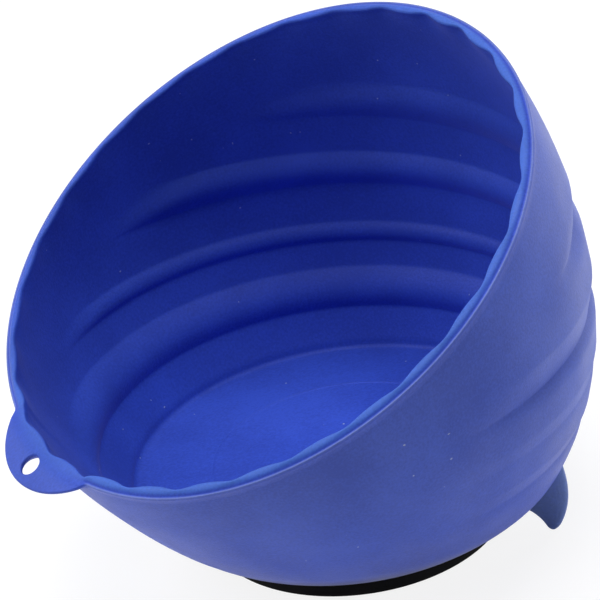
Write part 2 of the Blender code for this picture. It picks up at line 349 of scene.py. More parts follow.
def grooves(height):
    """Depth of the folds: each flank leans in down to its crease, and the wall swells out below.

    Above the crease the depth is (1 - t), rounded off where it ends at the fold's edge,
    and below the crease it is (1 - t) squared, where t is the distance from the crease as
    a share of the run. The edge stands out by an amount that falls off as
    exp(-distance / 4.2 mm) on both sides of it.
    """
    depth = np.zeros_like(height)
    for crease, deep, above, below, stands in GROOVES:
        flank = soft_larger(1.0 - np.abs(height - crease) / above, 0.0, FLANK_SOFTNESS)
        swell = np.clip(1.0 - (crease - height) / below, 0.0, 1.0) ** 2
        away = np.sqrt((height - crease - above) ** 2 + EDGE_SOFTNESS ** 2)
        depth += deep * np.where(height > crease, flank, swell) - stands * np.exp(-away / EDGE_RUN)
    return depth


def smooth_outer(height):
    """Outer radius with no fold: the belly's arcs, tucked in below the floor to meet the foot.

    The tuck grows with the square of the share of the way from the floor to the boot.
    """
    share = np.clip((FLOOR_TOP - height) / (FLOOR_TOP - BOOT_SHOWS), 0.0, 1.0)
    tuck = arc_wall(np.full_like(height, BOOT_SHOWS)) - FOOT_RADIUS
    return arc_wall(height) - tuck * share ** 2


def ring_points(turn, height, radius):
    """Points of leaning rings: a circle of this radius about the ring's own centre."""
    return np.stack([radius * np.cos(turn) - lean(height), radius * np.sin(turn), height + 0.0 * turn], -1)


# The mouth's plane: one axis up its slope, one across, and its normal
UP_SLOPE = np.array([math.cos(MOUTH_SLANT), 0.0, math.sin(MOUTH_SLANT)])
ACROSS = np.array([0.0, 1.0, 0.0])
OUTWARDS = np.array([-math.sin(MOUTH_SLANT), 0.0, math.cos(MOUTH_SLANT)])


def mouth_points(turn, reach, rise):
    """Points at a turn round the mouth, a reach from its centre and a rise off its plane."""
    turn, reach, rise = np.broadcast_arrays(turn, reach, rise)
    along = np.cos(turn)[..., None] * UP_SLOPE + np.sin(turn)[..., None] * ACROSS
    return MOUTH_CENTRE + reach[..., None] * along + rise[..., None] * OUTWARDS


def wall_top(turn, thickness, rise):
    """Height at which the wall, this far inside its outer face, meets the mouth's plane.

    The plane is moved by `rise` along its normal, and the height is found by halving.
    """
    low = np.full_like(turn, TOP_SEARCH[0])
    high = np.full_like(turn, TOP_SEARCH[1])
    for _ in range(TOP_HALVINGS):
        middle = 0.5 * (low + high)
        at = ring_points(turn, middle, smooth_outer(middle) - thickness)
        inside = (at - MOUTH_CENTRE) @ OUTWARDS < rise
        low = np.where(inside, middle, low)
        high = np.where(inside, high, middle)
    return low


def column_turns(count):
    """Turns of the columns, at equal steps of a running total that grows faster at the ear.

    It grows by 1 + 1.6 exp(-t^4), where t is the turn from the ear over 16 degrees.
    """
    turn = np.linspace(0.0, FULL_TURN, PACE_SAMPLES)
    density = 1.0 + EAR_CROWDING * np.exp(-((turn - EAR_TURN) / EAR_CROWDING_TURN) ** 4)
    total = running_total(density)
    return np.interp(np.arange(count) / count * total[-1], total, turn)


def row_heights(bottom, top, count, edges, crowding):
    """Heights of the rows, at equal steps of a running total that grows faster at these edges.

    It grows by 1 and, for each edge, by the crowding times exp(-t^2), where t is the
    distance from the edge over 1.1 mm.
    """
    height = np.linspace(bottom, top, PACE_SAMPLES)
    density = np.full_like(height, 1.0)
    for edge in edges:
        density += crowding * np.exp(-((height - edge) / CROWDING_WIDTH) ** 2)
    total = running_total(density)
    return np.interp(np.linspace(0.0, total[-1], count), total, height)


def fitted_rows(rows, top):
    """Heights of the rows in each column: as listed up to 15 mm below its top, then closer.

    Above that height the rest of the list is pressed together by (1 + c)u / (1 + cu),
    which starts at the rows' own pace and ends at the top.
    """
    start = top[None, :] - TOP_SQUEEZE
    rows = rows[:, None]
    span = rows[-1] - start
    share = np.clip((rows - start) / span, 0.0, 1.0)
    crowd = span / TOP_SQUEEZE - 1.0
    pressed = start + TOP_SQUEEZE * (1.0 + crowd) * share / (1.0 + crowd * share)
    return np.where(rows < start, rows, pressed)


def away_from_calm(turn):
    """0 on the mouth's calm side, round +Y, and 1 well away from it."""
    return ramp(turned_from(turn, CALM_TURN), CALM_HALF_TURN, CALM_FADE)


def flute_wave(turn):
    """Scallops round the mouth, from -1 outwards to 1 inwards, slightly uneven in spacing.

    The wave is cos(p) - 0.16 cos(2p), and the phase p drifts by 1.6 degrees of turn. The
    scallops are about half as deep on the calm side, between the high back and the ear.
    """
    phase = FLUTES * (turn + FLUTE_START + FLUTE_DRIFT * np.sin(0.5 * turn + FLUTE_DRIFT_START))
    depth = CALM_FLUTE_SHARE + (1.0 - CALM_FLUTE_SHARE) * away_from_calm(turn)
    return depth * (np.cos(phase) - FLUTE_SHARPNESS * np.cos(2.0 * phase))


def ear_reach(turn):
    """How far the mouth's edge swells out at the ear, over the rim's circle.

    It is an arc of 22.7 mm whose centre lies 61.5 mm from the mouth's, and its corners
    with the circle are rounded.
    """
    off = np.clip(turn - EAR_TURN, -EAR_HALF_TURN, EAR_HALF_TURN)
    cross = EAR_ARC_CENTRE * np.sin(off)
    arc = EAR_ARC_CENTRE * np.cos(off) + np.sqrt(np.maximum(EAR_ARC_RADIUS ** 2 - cross ** 2, 0.0))
    return np.maximum(soft_larger(arc, RIM_RADIUS, EAR_SOFTNESS) - RIM_RADIUS - EAR_LEAST, 0.0)


# Section of the lip from the inner wall over its bead, down a slope, through a fine
# groove and over the outer edge to the outer wall: reach from the rim's circle and rise
# off the mouth's plane. The second table is at the ear, in mm, where the first number of
# each row is a share of the ear's own reach. The third is each row's share of the flutes.
LIP = np.array([
    [-2.66, -1.00], [-2.74, -0.40], [-2.72, 0.20], [-2.42, 0.66], [-1.95, 0.78],
    [-1.50, 0.64], [-1.12, 0.38], [-0.80, 0.08], [-0.54, -0.17], [-0.34, -0.22],
    [-0.12, -0.14], [0.12, -0.14], [0.28, -0.36], [0.27, -0.72], [0.16, -1.15],
    [0.06, -1.60], [0.00, -2.10], [-0.04, -2.60],
]) * MM
EAR_LIP = np.array([
    [0.00, -2.16, -1.00], [0.00, -2.08, -0.46], [0.00, -1.98, 0.06], [0.00, -1.72, 0.30],
    [0.00, -1.35, 0.34], [0.06, -1.00, 0.28], [0.18, -0.85, 0.20], [0.34, -0.75, 0.12],
    [0.54, -0.70, 0.06], [0.74, -0.65, 0.02], [0.92, -0.60, 0.00], [1.00, -0.30, -0.05],
    [1.00, -0.03, -0.26], [1.00, 0.00, -0.60], [1.00, -0.20, -0.98], [0.96, -0.65, -1.13],
    [0.40, 0.00, -1.65], [0.00, -0.06, -2.60],
])
FLUTE_SHARE = np.array([1.0, 1.0, 1.0, 0.80, 0.45, 0.20] + [0.0] * 12)

# Spool that cuts the ear's hole: rise off the mouth's plane and flare beyond its radius
SPOOL = np.array([
    [1.0, 0.8], [0.08, 0.26], [-0.05, 0.13], [-0.15, 0.04], [-0.28, 0.0],
    [-0.80, 0.0], [-0.96, 0.04], [-1.07, 0.13], [-1.22, 0.28], [-2.6, 0.8],
]) * MM
SPOOL_SIDES = 72

# Rounding of the foot's outer corner, inwards and upwards, as shares of FOOT_ROUNDING
HEEL_CURVE = ((0.52, 0.62), (1.00, 0.28), (1.45, 0.07), (1.90, 0.0))


def spline_rows(nodes, parts):
    """Rows of a smooth curve through the nodes, `parts` to each stretch.

    Each stretch is the cubic that passes through its two nodes with the slope of the
    line between their neighbours.
    """
    before = np.concatenate([nodes[:1], nodes[:-1]])
    after = np.concatenate([nodes[1:], nodes[-1:]])
    slope = 0.5 * (after - before)
    stretches = []
    for part in range(parts):
        share = part / parts
        from_start = 2.0 * share ** 3 - 3.0 * share ** 2 + 1.0
        by_start_slope = share ** 3 - 2.0 * share ** 2 + share
        from_end = 3.0 * share ** 2 - 2.0 * share ** 3
        by_end_slope = share ** 3 - share ** 2
        stretches.append(
            from_start * nodes[:-1] + by_start_slope * slope[:-1]
            + from_end * nodes[1:] + by_end_slope * slope[1:]
        )
    rows = np.stack(stretches, 1).reshape((-1,) + nodes.shape[1:])
    return np.concatenate([rows, nodes[-1:]])


def lip_rows(mouth_turn):
    """Rows of points over the lip, from the inner wall's last row to the outer wall's.

    The section goes over from the plain one to the ear's as the ear's reach grows.
    """
    reach = ear_reach(mouth_turn)[None, :]
    at_ear = ramp(reach, 0.0, EAR_LIP_FADE)
    wave = FLUTE_DEPTH * flute_wave(mouth_turn)[None, :] * FLUTE_SHARE[:, None]
    plain_reach, plain_rise = LIP[:, :1], LIP[:, 1:]
    ear_out = EAR_LIP[:, :1] * reach + EAR_LIP[:, 1:2] * MM
    ear_rise = EAR_LIP[:, 2:] * MM
    out = plain_reach + (ear_out - plain_reach) * at_ear - wave
    rise = plain_rise + (ear_rise - plain_rise) * at_ear
    nodes = mouth_points(mouth_turn[None, :], RIM_RADIUS + out, rise)
    return spline_rows(nodes, 2)


def wall_rows(turn, rows, thickness, relief, target, rise):
    """Rows of points up one face of the wall, ending exactly on the lip's first or last row.

    Each point lies on its leaning ring, moved inwards by the relief. What is missing at
    the top is added in full there and fades away downwards over 22 mm. The distance of
    each point below the top is given back too.
    """
    top = wall_top(turn, thickness, rise)
    height = fitted_rows(rows, top)
    below = top[None, :] - height
    radius = smooth_outer(height) - thickness - relief(height, below, turn[None, :])
    points = ring_points(turn[None, :], height, radius)
    missing = target - points[-1]
    fade = (1.0 - ramp(below, 0.0, TOP_HOLD))[..., None]
    return points + missing[None] * fade, below


def inner_relief(height, below, turn):
    """Rolls on the inside, the same all the way round, which die out under the rim."""
    return rolls(height) * ramp(below, PLAIN_BAND, ROLL_FADE)


def outer_relief(height, below, turn):
    """Folds on the outside, whole at the high back and gone at the low front."""
    back = 1.0 - ramp(turned_from(turn, 0.0), FOLD_HALF_TURN, FOLD_FADE)
    return grooves(height) * back * ramp(below, PLAIN_BAND, ROLL_FADE)


def inner_face(turn, mouth_turn, target):
    """Rows up the inner wall, whose flutes fade downwards by (1 - t) squared over 8 mm."""
    edges = np.concatenate([ROLLS[:, 0], ROLLS[:, 0] + ROLLS[:, 1]])
    high = wall_top(turn, WALL, LIP[0, 1]).max()
    rows = row_heights(FLOOR_TOP + FLOOR_CORNER, high, INNER_ROWS, edges, INNER_CROWDING)
    points, below = wall_rows(turn, rows, WALL, inner_relief, target, LIP[0, 1])
    wave = flute_wave(mouth_turn)[None, :]
    fade = np.clip(1.0 - below / FLUTE_RUN, 0.0, 1.0) ** 2
    # The rows already carry the lip's flutes in this share, which `fade` now replaces
    held = 1.0 - ramp(below, 0.0, TOP_HOLD)
    along = mouth_points(mouth_turn, 1.0, 0.0) - MOUTH_CENTRE
    return points - (FLUTE_DEPTH * wave * (fade - held))[..., None] * along[None]


def outer_face(turn, target):
    """Rows up the outer wall, set closer at the folds."""
    folds = np.concatenate([GROOVES[:, 0], GROOVES[:, 0] + GROOVES[:, 2]])
    high = wall_top(turn, 0.0, LIP[-1, 1]).max()
    rows = row_heights(FLOOR_TOP, high, OUTER_ROWS, folds, OUTER_CROWDING)
    return wall_rows(turn, rows, 0.0, outer_relief, target, LIP[-1, 1])[0]


def lathe_rows(turn, stations):
    """Rings about the foot's axis from a list of (radius, height)."""
    radius = np.array([s[0] for s in stations])[:, None]
    height = np.array([s[1] for s in stations])[:, None]
    ones = np.ones_like(turn)[None, :]
    return np.stack([radius * np.cos(turn) * ones, radius * np.sin(turn) * ones, height * ones], -1)


def floor_rows(turn):
    """Rings of the floor, with a fine raised ring over the edge of the magnet stack.

    The raised ring is exp(-t^2), where t is the distance from its middle over its width.
    A round corner of three rings leads up to the wall, and from 36.5 mm outwards the
    rings shift to the wall's lean with the square of the distance.
    """
    reach = smooth_outer(np.array([FLOOR_TOP + FLOOR_CORNER]))[0] - WALL
    edge = reach - FLOOR_CORNER
    radius = np.concatenate([
        np.linspace(4.0, 34.0, 9) * MM,
        LINE_RINGS,
        np.linspace(38.0 * MM, edge, 7),
    ])
    line = np.exp(-((radius - MAGNET_LINE) / MAGNET_LINE_WIDTH) ** 2)
    height = FLOOR_TOP + MAGNET_LINE_HEIGHT * line
    radius = np.concatenate([radius, edge + FLOOR_CORNER * np.sin(CORNER_ARC)])
    height = np.concatenate([height, FLOOR_TOP + FLOOR_CORNER * (1.0 - np.cos(CORNER_ARC))])
    shift = lean(np.array([FLOOR_TOP + FLOOR_CORNER]))[0]
    part = np.clip((radius - LEAN_START) / (reach - LEAN_START), 0.0, 1.0) ** 2
    points = lathe_rows(turn, list(zip(radius, height)))
    points[..., 0] -= (shift * part)[:, None]
    return points


def foot_rows(turn):
    """Rings from the floor's height down the tucked wall, round the foot and up the socket."""
    height = np.linspace(BOOT_SHOWS + FOOT_ROUNDING, FLOOR_TOP, TUCK_ROWS)[:-1, None]
    radius = smooth_outer(height)
    tuck = ring_points(turn[None, :], height, radius)
    heel = radius[0, 0]
    corner = [
        (heel - inwards * FOOT_ROUNDING, BOOT_SHOWS + upwards * FOOT_ROUNDING)
        for inwards, upwards in HEEL_CURVE
    ]
    underside = lathe_rows(turn, corner + [
        (SOCKET_RADIUS + 0.1 * MM, BOOT_SHOWS),
        (SOCKET_RADIUS, BOOT_SHOWS + 0.1 * MM),
        (SOCKET_RADIUS, FLOOR_BOTTOM),
        (BOSS_RADIUS, FLOOR_BOTTOM),
        (BOSS_RADIUS, BOSS_BOTTOM),
        (NUT_POCKET_RADIUS, BOSS_BOTTOM),
        (NUT_POCKET_RADIUS, NUT_POCKET_TOP),
    ])
    return np.concatenate([tuck[::-1], underside])


def bowl_mesh():
    """The whole moulding as one closed skin.

    It runs from the middle of the floor up the inner wall, over the lip, down the outer
    wall, round the foot and up the socket to the middle of the underside. The floor,
    the lower outer wall and the socket have one column where the rest has three.
    """
    turn = column_turns(FINE_COLUMNS)
    coarse_turn = turn[::COARSE_STEP]
    top = wall_top(turn, 0.0, 0.0)
    from_centre = ring_points(turn, top, smooth_outer(top)) - MOUTH_CENTRE
    mouth_turn = np.unwrap(np.arctan2(from_centre @ ACROSS, from_centre @ UP_SLOPE))
    lip = lip_rows(mouth_turn)
    inner = inner_face(turn, mouth_turn, lip[0])
    outer = outer_face(turn, lip[-1])[::-1]

    # The floor ends on the inner wall's first row, so the fine part starts at the second
    start = np.concatenate([floor_rows(coarse_turn), inner[:1, ::COARSE_STEP]])
    fine = np.concatenate([inner[1:], lip[1:-1], outer[:FINE_OUTER_ROWS]])
    end = np.concatenate([outer[FINE_OUTER_ROWS:, ::COARSE_STEP], foot_rows(coarse_turn)])
    points = np.concatenate([
        np.array([[0.0, 0.0, FLOOR_TOP]]),
        start.reshape(-1, 3),
        fine.reshape(-1, 3),
        end.reshape(-1, 3),
        np.array([[0.0, 0.0, NUT_POCKET_TOP]]),
    ])

    count, coarse = FINE_COLUMNS, FINE_COLUMNS // COARSE_STEP
    first = 1
    second = first + len(start) * coarse
    third = second + len(fine) * count
    last = third + len(end) * coarse
    faces = pole_faces(first, 0, coarse)
    faces += tube_faces(first, len(start), coarse)
    faces += widening_faces(second - coarse, second, coarse, COARSE_STEP)
    faces += tube_faces(second, len(fine), count)
    faces += widening_faces(third, third - count, coarse, COARSE_STEP)
    faces += tube_faces(third, len(end), coarse)
    faces += pole_faces(last - coarse, last, coarse)
    return points, faces


def drill_ear(shell):
    """Cuts the hanging hole with a spool, so that its two edges come out rounded.

    The spool is a stack of circles about the hole's axis, which flares at both ends.
    """
    across = even_turns(SPOOL_SIDES)
    rise, flare = SPOOL[:, 0], SPOOL[:, 1]
    centre = mouth_points(EAR_TURN, EAR_HOLE_REACH, 0.0)
    rings = EAR_HOLE_RADIUS + flare[:, None]
    spool = (
        centre
        + (rings * np.cos(across))[..., None] * UP_SLOPE
        + (rings * np.sin(across))[..., None] * ACROSS
        + rise[:, None, None] * OUTWARDS
    )
    faces = capped_tube(len(SPOOL), SPOOL_SIDES)
    cutter = make_piece("ear_drill", spool, faces, shell.data.materials[0])
    cut = shell.modifiers.new("ear_hole", "BOOLEAN")
    cut.operation, cut.solver, cut.object = "DIFFERENCE", "EXACT", cutter
    bpy.context.view_layer.update()
    seen = shell.evaluated_get(bpy.context.evaluated_depsgraph_get())
    mesh = bpy.data.meshes.new_from_object(seen)
    shell.modifiers.clear()
    shell.data = mesh
    mesh.name = shell.name
    bpy.data.objects.remove(cutter)


def write_masks(piece, **masks):
    """Stores masks as attributes of a piece's points: one number for all, or one for each."""
    mesh = piece.data
    for name, values in masks.items():
        layer = mesh.attributes.new(name, "FLOAT", "POINT")
        layer.data.foreach_set("value", np.full(len(mesh.vertices), values, dtype=np.float32))


def mark_bowl(shell):
    """Masks of painted light on the bowl's skin, as shares of its finish's amounts.

    Painted sheen lies where the skin looks away from the bowl's middle, standing in for the
    outer wall's grazing sheen: the cosine between its normal and its direction from there,
    eased from 0.25 to 0.60. It thins out towards the foot, grows towards the high back and
    ends under the lip. The inner wall has a little. The lip's outer edge has four times as
    much in a narrow band, a painted highlight, and the ear 0.7 times. A painted highlight
    lies on the lip above the mouth's plane, less of it on the calm side, which lies in shade.
    Painted shade over the boot, where the skin faces down, is whole up to a height of 11 mm
    and gone at 17 mm.
    """
    mesh = shell.data
    place = np.empty(3 * len(mesh.vertices), dtype=np.float32)
    normal = np.empty_like(place)
    mesh.vertices.foreach_get("co", place)
    mesh.vertex_normals.foreach_get("vector", normal)
    place = place.reshape(-1, 3).astype(float)
    length, height = place[:, 0], place[:, 2]
    away = place - BOWL_MIDDLE
    cosine = (away * normal.reshape(-1, 3)).sum(axis=1) / np.linalg.norm(away, axis=1)
    outside = ramp(cosine, 0.25, 0.35)
    from_mouth = place - MOUTH_CENTRE
    across, up_slope, rise = from_mouth @ ACROSS, from_mouth @ UP_SLOPE, from_mouth @ OUTWARDS
    turn = np.arctan2(across, up_slope) % FULL_TURN
    beyond = np.hypot(across, up_slope) - RIM_RADIUS
    swell = ear_reach(turn)

    # Painted highlight along the lip's outer edge, in a narrow band
    band = np.exp(-((beyond - 0.02 * MM) / (0.30 * MM)) ** 2)
    edge = band * ramp(rise, -0.80 * MM, 0.40 * MM) * (1.0 - ramp(swell, 0.0, 1.0 * MM))
    # Painted sheen on the ear beyond the rim
    ear = ramp(swell, 0.0, 1.5 * MM) * ramp(beyond, 1.0 * MM, 3.0 * MM)
    under_lip = 1.0 - ramp(rise, -1.10 * MM, 0.40 * MM)
    from_foot = 0.30 + 0.70 * ramp(height, 8.0 * MM, 45.0 * MM)
    to_back = 1.0 + 0.7 * ramp(length, -10.0 * MM, 50.0 * MM)
    inner_wall = 0.16 * (1.0 - outside) * ramp(height, 24.0 * MM, 12.0 * MM)
    # Painted shade: the skin darkens towards the boot, where it faces down towards the floor
    rubbed = 1.0 - ramp(height, 11.0 * MM, 6.0 * MM)
    outer_wall = outside * (from_foot * to_back) * (1.0 - rubbed)
    # Painted highlight on the lip's upward-facing top, weaker on the calm side, which lies in shade
    worn = ramp(rise, -0.10 * MM, 0.75 * MM) * (0.40 + 0.60 * away_from_calm(turn))
    # Painted sheen: a paler colour where the skin faces outwards, with the edge's painted highlight and
    # the ear's painted sheen added
    bloom = (outer_wall + inner_wall) * under_lip + 4.0 * edge + 0.7 * ear
    write_masks(shell, bloom=bloom, worn=worn, rubbed=rubbed)


def fin_mesh():
    """Pull fin: a heel that sweeps down and outwards from under the belly.

    Its front and back edges are two quadratic curves in an upright plane through the
    foot's axis. Between them each section is a rounded oblong, 5.6 mm thick at the root
    and 3 mm at the tip, and the last tenth closes as a quarter of an ellipse.
    """
    share = np.linspace(0.0, 1.0, FIN_ROWS)[:, None]
    rest = 1.0 - share

    def bend(start, handle, end):
        """A quadratic curve from the start to the end, drawn towards the handle."""
        return rest ** 2 * start + 2.0 * rest * share * handle + share ** 2 * end

    outer_edge = bend(*FIN_OUTER_EDGE)
    inner_edge = bend(*FIN_INNER_EDGE)
    middle = 0.5 * (outer_edge + inner_edge)
    half = 0.5 * (outer_edge - inner_edge)
    way = share[:, 0]
    thick = (FIN_ROOT_HALF - FIN_THINNING * way ** 1.3) * MM
    close = np.sqrt(np.clip(1.0 - ((way - 0.9) / 0.1).clip(0.0, 1.0) ** 2, FIN_TIP_LEAST, 1.0))
    angle = even_turns(FIN_SIDES)
    along = np.sign(np.cos(angle)) * np.abs(np.cos(angle)) ** 0.95
    beside = np.sign(np.sin(angle)) * np.abs(np.sin(angle)) ** 0.9
    flat = middle[:, None, :] + half[:, None, :] * along[None, :, None] * close[:, None, None]
    side = thick[:, None] * close[:, None] * beside[None, :]
    radial = np.array([math.cos(FIN_TURN), math.sin(FIN_TURN), 0.0])
    tangent = np.array([-math.sin(FIN_TURN), math.cos(FIN_TURN), 0.0])
    points = flat[..., :1] * radial + flat[..., 1:] * np.array([0.0, 0.0, 1.0]) + side[..., None] * tangent
    return points, capped_tube(FIN_ROWS, FIN_SIDES)


def boot_mesh():
    """Rubber boot: a cup turned about the foot's axis, with a rounded foot edge and grip rings below."""
    turn = even_turns(BOOT_COLUMNS)
    arc = np.linspace(0.0, 90.0, 7) * DEGREE
    rounding = BOOT_EDGE_ROUNDING
    edge = [
        (BOOT_RADIUS - rounding + rounding * math.sin(a), rounding - rounding * math.cos(a))
        for a in arc
    ]
    sole = [(SOLE_MIDDLE, 0.0)]
    for ring in GRIP_RINGS:
        sole += [
            ((ring - GRIP_HALF_OPEN) * MM, 0.0), ((ring - GRIP_HALF_BOTTOM) * MM, GRIP_DEPTH),
            ((ring + GRIP_HALF_BOTTOM) * MM, GRIP_DEPTH), ((ring + GRIP_HALF_OPEN) * MM, 0.0),
        ]
    stations = sole + edge + [
        (BOOT_RADIUS, 4.0 * MM), (BOOT_RADIUS, 9.0 * MM), (BOOT_RADIUS, BOOT_TOP - BOOT_CHAMFER),
        (BOOT_RADIUS - BOOT_CHAMFER, BOOT_TOP), (BOOT_BORE_RADIUS, BOOT_TOP),
        (BOOT_BORE_RADIUS, BOOT_SHELF), (CLAMP_POCKET_RADIUS, BOOT_SHELF),
        (CLAMP_POCKET_RADIUS, SOLE_CENTRE), (SOLE_MIDDLE, SOLE_CENTRE),
    ]
    rings = lathe_rows(turn, stations)
    points = np.concatenate([
        np.zeros((1, 3)), rings.reshape(-1, 3), np.array([[0.0, 0.0, SOLE_CENTRE]]),
    ])
    last_ring = 1 + (len(stations) - 1) * BOOT_COLUMNS
    faces = pole_faces(1, 0, BOOT_COLUMNS)
    faces += tube_faces(1, len(stations), BOOT_COLUMNS)
    faces += pole_faces(last_ring, len(points) - 1, BOOT_COLUMNS)
    return points, faces


# Materials
def new_group(name, numbers, colours=(), outputs=(("Colour", "NodeSocketColor"),)):
    """An empty shader node group with named number and colour inputs."""
    group = bpy.data.node_groups.new(name, "ShaderNodeTree")
    for label, value in numbers:
        socket = group.interface.new_socket(label, in_out="INPUT", socket_type="NodeSocketFloat")
        socket.default_value = value
    for label, value in colours:
        socket = group.interface.new_socket(label, in_out="INPUT", socket_type="NodeSocketColor")
        socket.default_value = (*value, 1.0)
    for label, kind in outputs:
        group.interface.new_socket(label, in_out="OUTPUT", socket_type=kind)
    return group, group.nodes.new("NodeGroupInput"), group.nodes.new("NodeGroupOutput")


def joined(tree, node_type, values=(), **settings):
    """One node with its settings, and its inputs set to a value or joined to another node's output."""
    node = tree.nodes.new(node_type)
    for key, value in settings.items():
        setattr(node, key, value)
    for key, value in dict(values).items():
        if isinstance(value, bpy.types.NodeSocket):
            tree.links.new(value, node.inputs[key])
        else:
            node.inputs[key].default_value = value
    return node


def calculated(tree, operation, *values):
    """Output of a Math node that takes these values in order."""
    return joined(tree, "ShaderNodeMath", enumerate(values), operation=operation).outputs[0]


def mapped(tree, value, source=(0.0, 1.0), target=(0.0, 1.0)):
    """Output of a Map Range node that carries the source range over to the target range."""
    return joined(tree, "ShaderNodeMapRange", {
        "Value": value, "From Min": source[0], "From Max": source[1],
        "To Min": target[0], "To Max": target[1],
    }).outputs["Result"]


def mixed(tree, share, colour, other_colour):
    """Output of a Mix node that goes from one colour to the other by this share."""
    return joined(tree, "ShaderNodeMix", {
        "Factor": share, "A": colour, "B": other_colour,
    }, data_type="RGBA").outputs["Result"]


def object_noise(tree, scale, detail=2.0, roughness=0.5):
    """Noise in object coordinates, in lumps per metre, from 0 to 1."""
    place = joined(tree, "ShaderNodeTexCoord")
    return joined(tree, "ShaderNodeTexNoise", {
        "Vector": place.outputs["Object"], "Scale": scale, "Detail": detail, "Roughness": roughness,
    }).outputs["Fac"]


def make_grain_group():
    """Surface grain of a matt moulding: its height, from fine pits to slow waviness."""
    group, given, result = new_group(
        "matt_grain", [("Fine scale", 1400.0), ("Wave scale", 60.0), ("Wave share", 0.5)],
        outputs=(("Height", "NodeSocketFloat"), ("Mottle", "NodeSocketFloat")),
    )
    fine = object_noise(group, given.outputs["Fine scale"], detail=3.0, roughness=0.6)
    wave = object_noise(group, given.outputs["Wave scale"], detail=2.0)
    scaled = calculated(group, "MULTIPLY", wave, given.outputs["Wave share"])
    both = calculated(group, "ADD", fine, scaled)
    group.links.new(both, result.inputs["Height"])
    group.links.new(wave, result.inputs["Mottle"])
    return group


def make_tint_group():
    """Colour of a surface with painted light on it, laid on in this order.

    Two tones are mixed by slow mottling and a fine grain. Then come a painted highlight
    tone, a painted shade tone and a pale colour for painted sheen, each by one of the
    piece's masks times its amount. The painted sheen is patchy, and pale dust specks of the
    same colour are added to it.
    """
    group, given, result = new_group(
        "tone_dust_and_painted_light",
        [("Mottle scale", 45.0), ("Speck scale", 520.0), ("Speck amount", 0.3), ("Painted sheen amount", 0.0),
         ("Painted highlight amount", 0.0), ("Painted foot shade amount", 0.0)],
        [("Tone", (0.5, 0.5, 0.5)), ("Other tone", (0.4, 0.4, 0.4)), ("Sheen and dust", (0.7, 0.7, 0.72)),
         ("Painted highlight tone", (0.18, 0.48, 1.0)), ("Painted foot shade tone", (0.005, 0.016, 0.150))],
    )
    slow = object_noise(group, given.outputs["Mottle scale"], detail=4.0, roughness=0.55)
    grain = object_noise(group, 1500.0, detail=1.0)
    flecked = calculated(group, "MULTIPLY_ADD", grain, 0.7, slow)
    spread = mapped(group, flecked, (0.65, 1.05))
    patchy = mapped(group, slow, (0.30, 0.70), (0.78, 1.22))
    tone = mixed(group, spread, given.outputs["Tone"], given.outputs["Other tone"])
    fine = object_noise(group, given.outputs["Speck scale"], detail=0.0)
    speck = mapped(group, fine, (0.89, 0.92), (0.0, given.outputs["Speck amount"]))
    shares = {}
    # Painted highlight, painted shade and painted sheen, each by its mask
    for mask, amount in (("bloom", "Painted sheen amount"), ("worn", "Painted highlight amount"), ("rubbed", "Painted foot shade amount")):
        read = joined(group, "ShaderNodeAttribute", attribute_name=mask)
        shares[mask] = calculated(group, "MULTIPLY", read.outputs["Fac"], given.outputs[amount])
    worn = mixed(group, shares["worn"], tone, given.outputs["Painted highlight tone"])
    rubbed = mixed(group, shares["rubbed"], worn, given.outputs["Painted foot shade tone"])
    sheen_and_dust_share = calculated(group, "MULTIPLY_ADD", shares["bloom"], patchy, speck)
    with_sheen_and_dust = mixed(group, sheen_and_dust_share, rubbed, given.outputs["Sheen and dust"])
    group.links.new(with_sheen_and_dust, result.inputs["Colour"])
    return group


GRAIN = make_grain_group()
TINT = make_tint_group()


def finish_material(name, tone, other_tone, roughness, grain, tint, bump, sheen=None, metallic=0.0,
                    specular=0.5, sheen_and_dust=(0.7, 0.7, 0.72)):
    """A material whose colour, roughness and bump come from the two shared groups.

    `roughness` is (lowest, highest), `grain` is (fine scale, wave scale, wave share) and
    `tint` is (mottle scale, speck scale, speck amount, painted sheen amount, painted
    highlight amount, painted foot shade amount). `bump` is (strength, depth in metres) and
    `sheen` is (weight, roughness, tint). The last colour is the pale one of the painted
    sheen and of the dust specks.
    amount). `bump` is (strength, depth in metres) and `sheen` is (weight, roughness, tint).
    """
    made = bpy.data.materials.new(name)
    made.use_nodes = True
    tree = made.node_tree
    shader = tree.nodes["Principled BSDF"]
    colour = joined(tree, "ShaderNodeGroup", node_tree=TINT)
    for socket, value in zip(colour.inputs, (*tint, (*tone, 1.0), (*other_tone, 1.0), (*sheen_and_dust, 1.0))):
        socket.default_value = value
    relief = joined(tree, "ShaderNodeGroup", node_tree=GRAIN)
    for socket, value in zip(relief.inputs, grain):
        socket.default_value = value
    rough = mapped(tree, relief.outputs["Mottle"], (0.3, 0.7), roughness)
    bumps = joined(tree, "ShaderNodeBump", {
        "Height": relief.outputs["Height"], "Strength": bump[0], "Distance": bump[1],
    })
    tree.links.new(colour.outputs["Colour"], shader.inputs["Base Color"])
    tree.links.new(rough, shader.inputs["Roughness"])
    tree.links.new(bumps.outputs["Normal"], shader.inputs["Normal"])
    shader.inputs["Metallic"].default_value = metallic
    shader.inputs["Specular IOR Level"].default_value = specular
    if sheen:
        shader.inputs["Sheen Weight"].default_value = sheen[0]
        shader.inputs["Sheen Roughness"].default_value = sheen[1]
        shader.inputs["Sheen Tint"].default_value = (*sheen[2], 1.0)
    made.diffuse_color = (*tone, 1.0)
    return made


